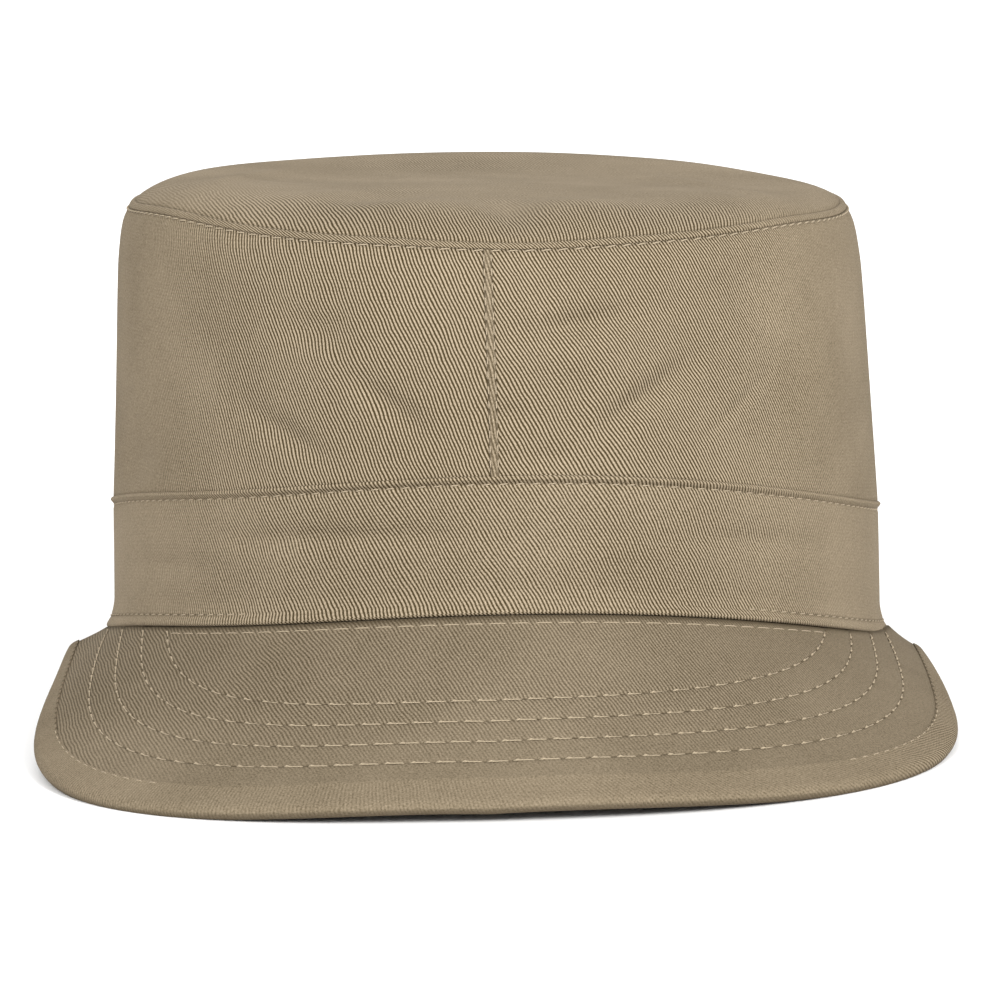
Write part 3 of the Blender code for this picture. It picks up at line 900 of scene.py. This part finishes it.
def visor_point(along, share):
    """Foot to edge in a straight plan line, falling at the slope, with a curl that grows as distance squared.

    At its two ends it is lifted by a bell, times its share on the left and (1 - share) ** 1.5 on the right.
    """
    turn = along * np.radians(VISOR_END_TURN)
    foot = crown_point(turn, 0.0)
    edge_x, edge_y = visor_outline(along)
    x = foot[..., 0] + share * (edge_x - foot[..., 0])
    y = foot[..., 1] + share * (edge_y - foot[..., 1])
    out = np.hypot(x - foot[..., 0], y - foot[..., 1])
    slope = VISOR_SLOPE + (VISOR_END_SLOPE - VISOR_SLOPE) * np.abs(along) ** VISOR_SLOPE_POWER
    z = foot[..., 2] - share * edge_lift(BASE_FOLDS, turn)
    z = z - VISOR_SEAM_DROP - VISOR_PLY - GAP / 2 - out * np.tan(np.radians(slope))
    z = z + VISOR_CURL * (out / VISOR_REACH) ** 2 + VISOR_TWIST * share * x / BASE_HALF_WIDTH
    z = z + VISOR_FOOT_LIFT * (1 - share) ** 4 + LEFT_END_LIFT * share * bell(along, -1.0, LEFT_LIFT_REACH)
    z = z + RIGHT_END_LIFT * np.maximum(1 - share, 0.0) ** 1.5 * bell(along, 1.0, RIGHT_LIFT_REACH)
    return np.stack(np.broadcast_arrays(x, y, z), axis=-1)


def visor_normal(along, share):
    """Unit direction up out of the visor's middle surface, from small steps along both parameters."""
    step = 0.002
    outward = visor_point(along, share + step) - visor_point(along, share - step)
    sideways = visor_point(along + step, share) - visor_point(along - step, share)
    up = np.cross(outward, sideways)
    return up / np.linalg.norm(up, axis=-1, keepdims=True)


def row_inset(along, first):
    """How far in from the edge a row lies: its distance in front, swelling to the corners as sine squared."""
    return first * (1 + ROW_SWELL * np.sin(np.pi * np.abs(along) / ROW_SWELL_REACH) ** 2)


def binding_reach(along):
    """How far in from the edge the binding's upper leg reaches, narrowing towards the visor's two ends."""
    return BINDING_END_REACH + BINDING_REACH * (1 - np.abs(along) ** BINDING_NARROWING)


edge_x, edge_y = visor_outline(np.linspace(-1, 1, VISOR_COLUMNS))
EDGE_LENGTH = np.hypot(np.diff(edge_x), np.diff(edge_y)).sum()


def row_depth(along, inset):
    """How far stitching pulls the cloth in: a bell across each row, deepest at the stitches' ends."""
    total = 0.0
    run = along * EDGE_LENGTH / 2
    for row in range(ROW_COUNT):
        away = inset - row_inset(along, ROW_FIRST + row * ROW_SPACING)
        pinch = 0.75 + 0.25 * np.cos(2 * np.pi * run / ROW_STITCH)
        total = total + pinch * bell(away, 0.0, ROW_GROOVE)
    return total


def row_distance(along, inset):
    """Distance from the nearest of the four rows."""
    first = ROW_FIRST + ROW_SPACING * np.arange(ROW_COUNT)
    return np.min([np.abs(inset - row_inset(along, start)) for start in first], axis=0)


def laid_flat(points, along):
    """Plane coordinates of the visor's cloth before it is bent over the brow.

    Its foot is a curve of the same length, whose direction turns by a fixed share of the foot's turn in
    plan; each point lies square to it by its distance from the foot.
    """
    turned = VISOR_FLAT_TURN * along * np.radians(VISOR_END_TURN)
    step = np.linalg.norm(np.diff(points[0], axis=0), axis=1)
    halfway = (turned[1:] + turned[:-1]) / 2
    foot_x = np.concatenate([[0.0], np.cumsum(step * np.cos(halfway))])
    foot_y = np.concatenate([[0.0], np.cumsum(step * np.sin(halfway))])
    run = np.linalg.norm(points - points[0], axis=-1)
    return foot_x - foot_x[len(along) // 2] + run * np.sin(turned), foot_y - run * np.cos(turned)


def visor_top(along, share):
    """Upper cloth's face: the middle surface raised by a ply, sunk along the rows and under the binding."""
    inset = (1 - share) * visor_width(along)
    lift = GAP / 2 + VISOR_PLY - ROW_SINK * row_depth(along, inset)
    lift = lift - BINDING_THICKNESS * ramp(binding_reach(along) - inset, 0.0004, 0.0011)
    return visor_point(along, share) + visor_normal(along, share) * np.asarray(lift)[..., None]


def seam_tuck(along, face, further=0.0, lift=0.0):
    """A row of points turned in behind the band, as high as the face's first row plus the lift."""
    turn = along * np.radians(VISOR_END_TURN)
    row = crown_point(turn, 0.0, -BAND_THICKNESS - VISOR_SEAM_TUCK - further)
    row[:, 2] = face[0, :, 2] + lift
    return row


stations = np.pad(np.linspace(-1, 1, VISOR_COLUMNS - 2), 1, mode="edge")
shares = np.linspace(0.0, 1.0, VISOR_ROWS)[:, None]
top_face = visor_top(stations, shares)
tuck = seam_tuck(stations, top_face)
turned_up = seam_tuck(stations, top_face, VISOR_TURNED_IN, VISOR_TURNED_UP)
down = np.linspace(1.0, 0.0, VISOR_INNER_ROWS)[:, None]
low_face = visor_point(stations, down) + visor_normal(stations, down) * (GAP / 2)
low_tuck = tuck - np.array([0.0, 0.0, VISOR_PLY * 0.8])
visor_slab = np.concatenate([turned_up[None], tuck[None], top_face, low_face, low_tuck[None]])
for column in (0, -1):
    middle = visor_point(stations[column], shares) + visor_normal(stations[column], shares) * VISOR_PLY / 2
    visor_slab[2:2 + VISOR_ROWS, column] = middle[:, 0]
    visor_slab[2 + VISOR_ROWS:-1, column] = (
        visor_point(stations[column], down) + visor_normal(stations[column], down) * VISOR_PLY / 2
    )[:, 0]
flat_x, flat_y = laid_flat(np.concatenate([top_face[:1], visor_slab[1:]]), stations)
ribs = rib_coordinates(flat_x, flat_y, VISOR_RIB_ANGLE)
# The visor's tint darkens the same twill below the crown's as painted shade, for the less light that falls on
# it.
visor_cloth = twill("visor_twill", tint=0.79, depth=0.42, waves=3.0)
inset = (1 - shares) * visor_width(stations)
relief = np.ones((len(visor_slab), VISOR_COLUMNS))
worn = VISOR_WEAR * (1 - ramp(inset, VISOR_WEAR_START, VISOR_WEAR_END))
worn = worn * (1 - 0.8 * ramp(-stations, 0.30, 0.55))
relief[2:2 + VISOR_ROWS] = (1 - worn) * (1 - 0.6 * ramp(stations, 0.20, 0.60))
# Painted shade: the upper cloth's colour darkens along its four rows of stitches and, over about a
# millimetre, at its foot under the band's hem.
away = np.ones(relief.shape)
from_foot = visor_width(stations) - inset
from_row = np.where(from_foot > ROW_END_MARGIN, 1.4 * row_distance(stations, inset), 1.0)
away[2:2 + VISOR_ROWS] = np.minimum(from_row, 0.28 * from_foot + LINE_SOFTNESS / 2)
upper = put_cloth(
    "visor_top_cloth", visor_slab[::-1], ribs[::-1], visor_cloth, relief[::-1], away[::-1], tube=True,
)
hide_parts("visor_upper")

stations = np.linspace(-1, 1, UNDER_COLUMNS)
shares = np.linspace(0.0, 1.0, UNDER_ROWS)[:, None]
low = visor_point(stations, shares) - visor_normal(stations, shares) * (GAP / 2 + VISOR_PLY)
low = np.concatenate([seam_tuck(stations, low)[None], low])
flat_x, flat_y = laid_flat(low, stations)
ribs = rib_coordinates(flat_x, flat_y, VISOR_RIB_ANGLE)
under = put_cloth("visor_under_cloth", low, ribs, visor_cloth, thickness=VISOR_PLY * 0.8)
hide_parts("visor_under")


def visor_row(name, along, inset, pitch, **form):
    """Stitches on the upper cloth: the middle surface raised by a ply, at this inset from the edge."""
    share = 1 - inset / visor_width(along)
    normal = visor_normal(along, share)
    path = visor_point(along, share) + normal * (GAP / 2 + VISOR_PLY)
    put_stitches(name, path, normal, pitch, slot="visor_twill", **form)


# The thread lies a little sunk in the middle, deeper beside it, and comes up again at the visor's two ends.
stations = np.linspace(-1, 1, 1601)
sink = 1.5 + 1.1 * ramp(np.abs(stations + 0.05), 0.06, 0.24) - 1.3 * ramp(np.abs(stations), 0.62, 0.80)
for row in range(ROW_COUNT):
    inset = row_inset(stations, ROW_FIRST + row * ROW_SPACING)
    on_visor = inset < visor_width(stations) - ROW_END_MARGIN
    visor_row(
        f"visor_stitches_{row + 1}", stations[on_visor], inset[on_visor], ROW_STITCH,
        filled=0.90, radius=0.00015, sink=sink[on_visor], knot=1.1,
    )
stations = stations[np.abs(stations) < CROWN_ROW_END]
visor_row(
    "visor_seam_stitches", stations, visor_width(stations) - CROWN_ROW, CROWN_ROW_STITCH,
    filled=0.88, radius=0.00014, sink=0.3,
)


# Binding: a bias strip of the same twill folded over the visor's edge and sewn along its inner edge, so
# that its ribs turn as it goes round. It lies proud at the sides and runs in flush across the front.
BINDING_COLUMNS = 720
BINDING_LEG_ROWS = 14
BINDING_ROWS = 26
BINDING_PROUD = 0.00040
BINDING_FLUSH = -0.00012
BINDING_STITCH = 0.0037
BINDING_LINE = 0.0002
BINDING_LINE_LEG = 0.10
BINDING_UNDER_REACH = 0.0040
BINDING_UNDER_WIDTH = 0.0065
BINDING_END_CLOSING = 0.85
EDGE_RADIUS = 0.00245
BINDING_RIBS = (
    # along, angle of the ribs to the edge in degrees
    (-1.00, 95.0),
    (-0.30, 92.0),
    (0.00, 70.0),
    (0.28, 50.0),
    (0.55, 38.0),
    (1.00, 46.0),
)


def binding_section(along, leg, swing):
    """Upper leg from its inner edge (leg 0) to the visor's edge (leg 1), then round it by the swing angle.

    The section is an ellipse quarter above, as high as the binding stands, and a circle quarter below.
    """
    proud = BINDING_FLUSH + BINDING_PROUD * ramp(np.abs(along), 0.24, 0.50)
    height = GAP / 2 + VISOR_PLY + proud * ramp(leg, -0.30, 0.12)
    share = 1 - binding_reach(along) * (1 - leg) / visor_width(along)
    edge = visor_point(along, 1.0)
    inner = visor_point(along, 1 - BINDING_REACH / 2 / visor_width(along))
    out = (edge - inner) / np.linalg.norm(edge - inner, axis=-1, keepdims=True)
    rise = visor_normal(along, 1.0)
    above = np.where(swing > 0, height, EDGE_RADIUS)
    round_by = (EDGE_RADIUS * np.cos(swing))[..., None] * out + (above * np.sin(swing))[..., None] * rise
    turned = np.where(swing[..., None] < 0.5 * np.pi, round_by, height[..., None] * rise)
    return visor_point(along, share) + turned


stations = np.pad(np.linspace(-1, 1, BINDING_COLUMNS - 2), 1, mode="edge")
leg_rows = np.linspace(0.0, 1.0, BINDING_LEG_ROWS, endpoint=False) ** 1.5
swing_rows = np.linspace(0.5 * np.pi, -0.5 * np.pi, BINDING_ROWS)
leg = np.concatenate([leg_rows, np.ones(BINDING_ROWS)])
swing = np.concatenate([np.full(BINDING_LEG_ROWS, 0.5 * np.pi), swing_rows])
whole_edge = np.ones(BINDING_COLUMNS)
binding_grid = binding_section(stations, leg[:, None] * whole_edge, swing[:, None] * whole_edge)
width = np.maximum(visor_width(stations), BINDING_UNDER_WIDTH)
lower = visor_point(stations, 1 - BINDING_UNDER_REACH / width) - visor_normal(stations, 1.0) * EDGE_RADIUS
binding_grid = np.concatenate([binding_grid, lower[None]])
for column in (0, -1):
    upward = visor_normal(stations[column], 1.0)
    above = (binding_grid[:, column] - visor_point(stations[column], 1.0)) @ upward
    binding_grid[:, column] -= BINDING_END_CLOSING * above[:, None] * upward
edge = visor_point(stations, 1.0)
along_edge = np.concatenate([[0.0], np.cumsum(np.linalg.norm(np.diff(edge, axis=0), axis=1))])
down = np.linalg.norm(np.diff(binding_grid, axis=0), axis=-1).cumsum(axis=0)
down = np.concatenate([np.zeros((1, BINDING_COLUMNS)), down])
rib_turn = np.radians(np.interp(stations, *np.array(BINDING_RIBS).T))
step = np.gradient(along_edge) + 1e-9
ribs = np.stack([
    np.cumsum(np.sin(rib_turn) * step) - down * np.cos(rib_turn),
    np.cumsum(np.cos(rib_turn) * step) + down * np.sin(rib_turn),
], axis=-1)
# The binding's tint darkens the same twill a little below the crown's as painted shade.
binding_cloth = twill("binding_twill", tint=0.90, depth=0.35)
relief = 0.35 + 0.35 * ramp(np.abs(stations), 0.30, 0.60) + 1.1 * ramp(stations, 0.42, 0.60)
# Painted shade along the sewn line, dashed by its stitches and fading out across the front,
# and painted shade on the turned-under lip too.
from_line = 0.7 * np.abs(np.linalg.norm(binding_grid - binding_grid[0], axis=-1) - BINDING_LINE)
dashes = 0.5 + 0.5 * np.cos(2 * np.pi * along_edge / BINDING_STITCH)
from_line = from_line + 0.0005 * dashes + 0.001 * (1 - ramp(np.abs(stations), 0.45, 0.62))
lip_shade_away = np.concatenate([0.0006 - 0.00038 * ramp(-swing, -0.9, 0.4), [0.0002]])[:, None]
binding = put_cloth(
    "visor_edge_binding", binding_grid[::-1], ribs[::-1], binding_cloth, relief,
    np.minimum(from_line, lip_shade_away)[::-1], thickness=BINDING_THICKNESS * 0.8,
)
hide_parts("visor_binding")

for name, first, last in (("left", -0.62, -0.36), ("right", 0.40, 0.66)):
    stations = np.linspace(first, last, 500)
    line = binding_section(stations, np.full(500, BINDING_LINE_LEG), np.full(500, 0.5 * np.pi))
    inner_edge = 1 - binding_reach(stations) / visor_width(stations)
    put_stitches(
        "binding_stitches_" + name, line, visor_normal(stations, inner_edge), BINDING_STITCH,
        filled=0.55, radius=0.00013, sink=0.5, slot="binding_twill",
    )


# Floor and light: a plain pale floor of matt paper, in a pale room. One soft light stands in front and to
# the right, a broader and fainter one in front and to the left, and one more behind.
FLOOR_SIZE = 12.0
FLOOR_COLOUR = (0.92, 0.92, 0.92)
FLOOR_ROUGHNESS = 0.9
ROOM_COLOUR = (1.0, 1.0, 1.0)
ROOM_STRENGTH = 0.82
LIGHT_TARGET = (0.0, 0.0, 0.05)
LIGHTS = (
    # name, place, size, power
    ("key", (0.95, -1.50, 1.10), 0.7, 38.5),
    ("fill", (-0.80, -1.50, 1.15), 1.2, 24.0),
    ("back", (-0.20, 1.50, 1.30), 1.2, 13.0),
)

floor_mesh = bpy.data.meshes.new("floor")
corners = np.array([(-1, -1, 0), (1, -1, 0), (1, 1, 0), (-1, 1, 0)]) * FLOOR_SIZE / 2
floor_mesh.from_pydata(corners.tolist(), [], [(0, 1, 2, 3)])
floor = bpy.data.objects.new("floor", floor_mesh)
bpy.context.scene.collection.objects.link(floor)
paper = bpy.data.materials.new("floor_paper")
paper.use_nodes = True
paper.node_tree.nodes["Principled BSDF"].inputs["Base Color"].default_value = (*FLOOR_COLOUR, 1.0)
paper.node_tree.nodes["Principled BSDF"].inputs["Roughness"].default_value = FLOOR_ROUGHNESS
floor_mesh.materials.append(paper)

for name, place, size, power in LIGHTS:
    light = bpy.data.lights.new(name, "AREA")
    light.size = size
    light.energy = power
    lamp = bpy.data.objects.new(name, light)
    lamp.location = place
    lamp.rotation_euler = (Vector(LIGHT_TARGET) - Vector(place)).to_track_quat("-Z", "Y").to_euler()
    bpy.context.scene.collection.objects.link(lamp)

room = bpy.data.worlds.new("room")
room.use_nodes = True
room.node_tree.nodes["Background"].inputs["Color"].default_value = (*ROOM_COLOUR, 1.0)
room.node_tree.nodes["Background"].inputs["Strength"].default_value = ROOM_STRENGTH
bpy.context.scene.world = room
bpy.context.scene.view_settings.view_transform = "Standard"
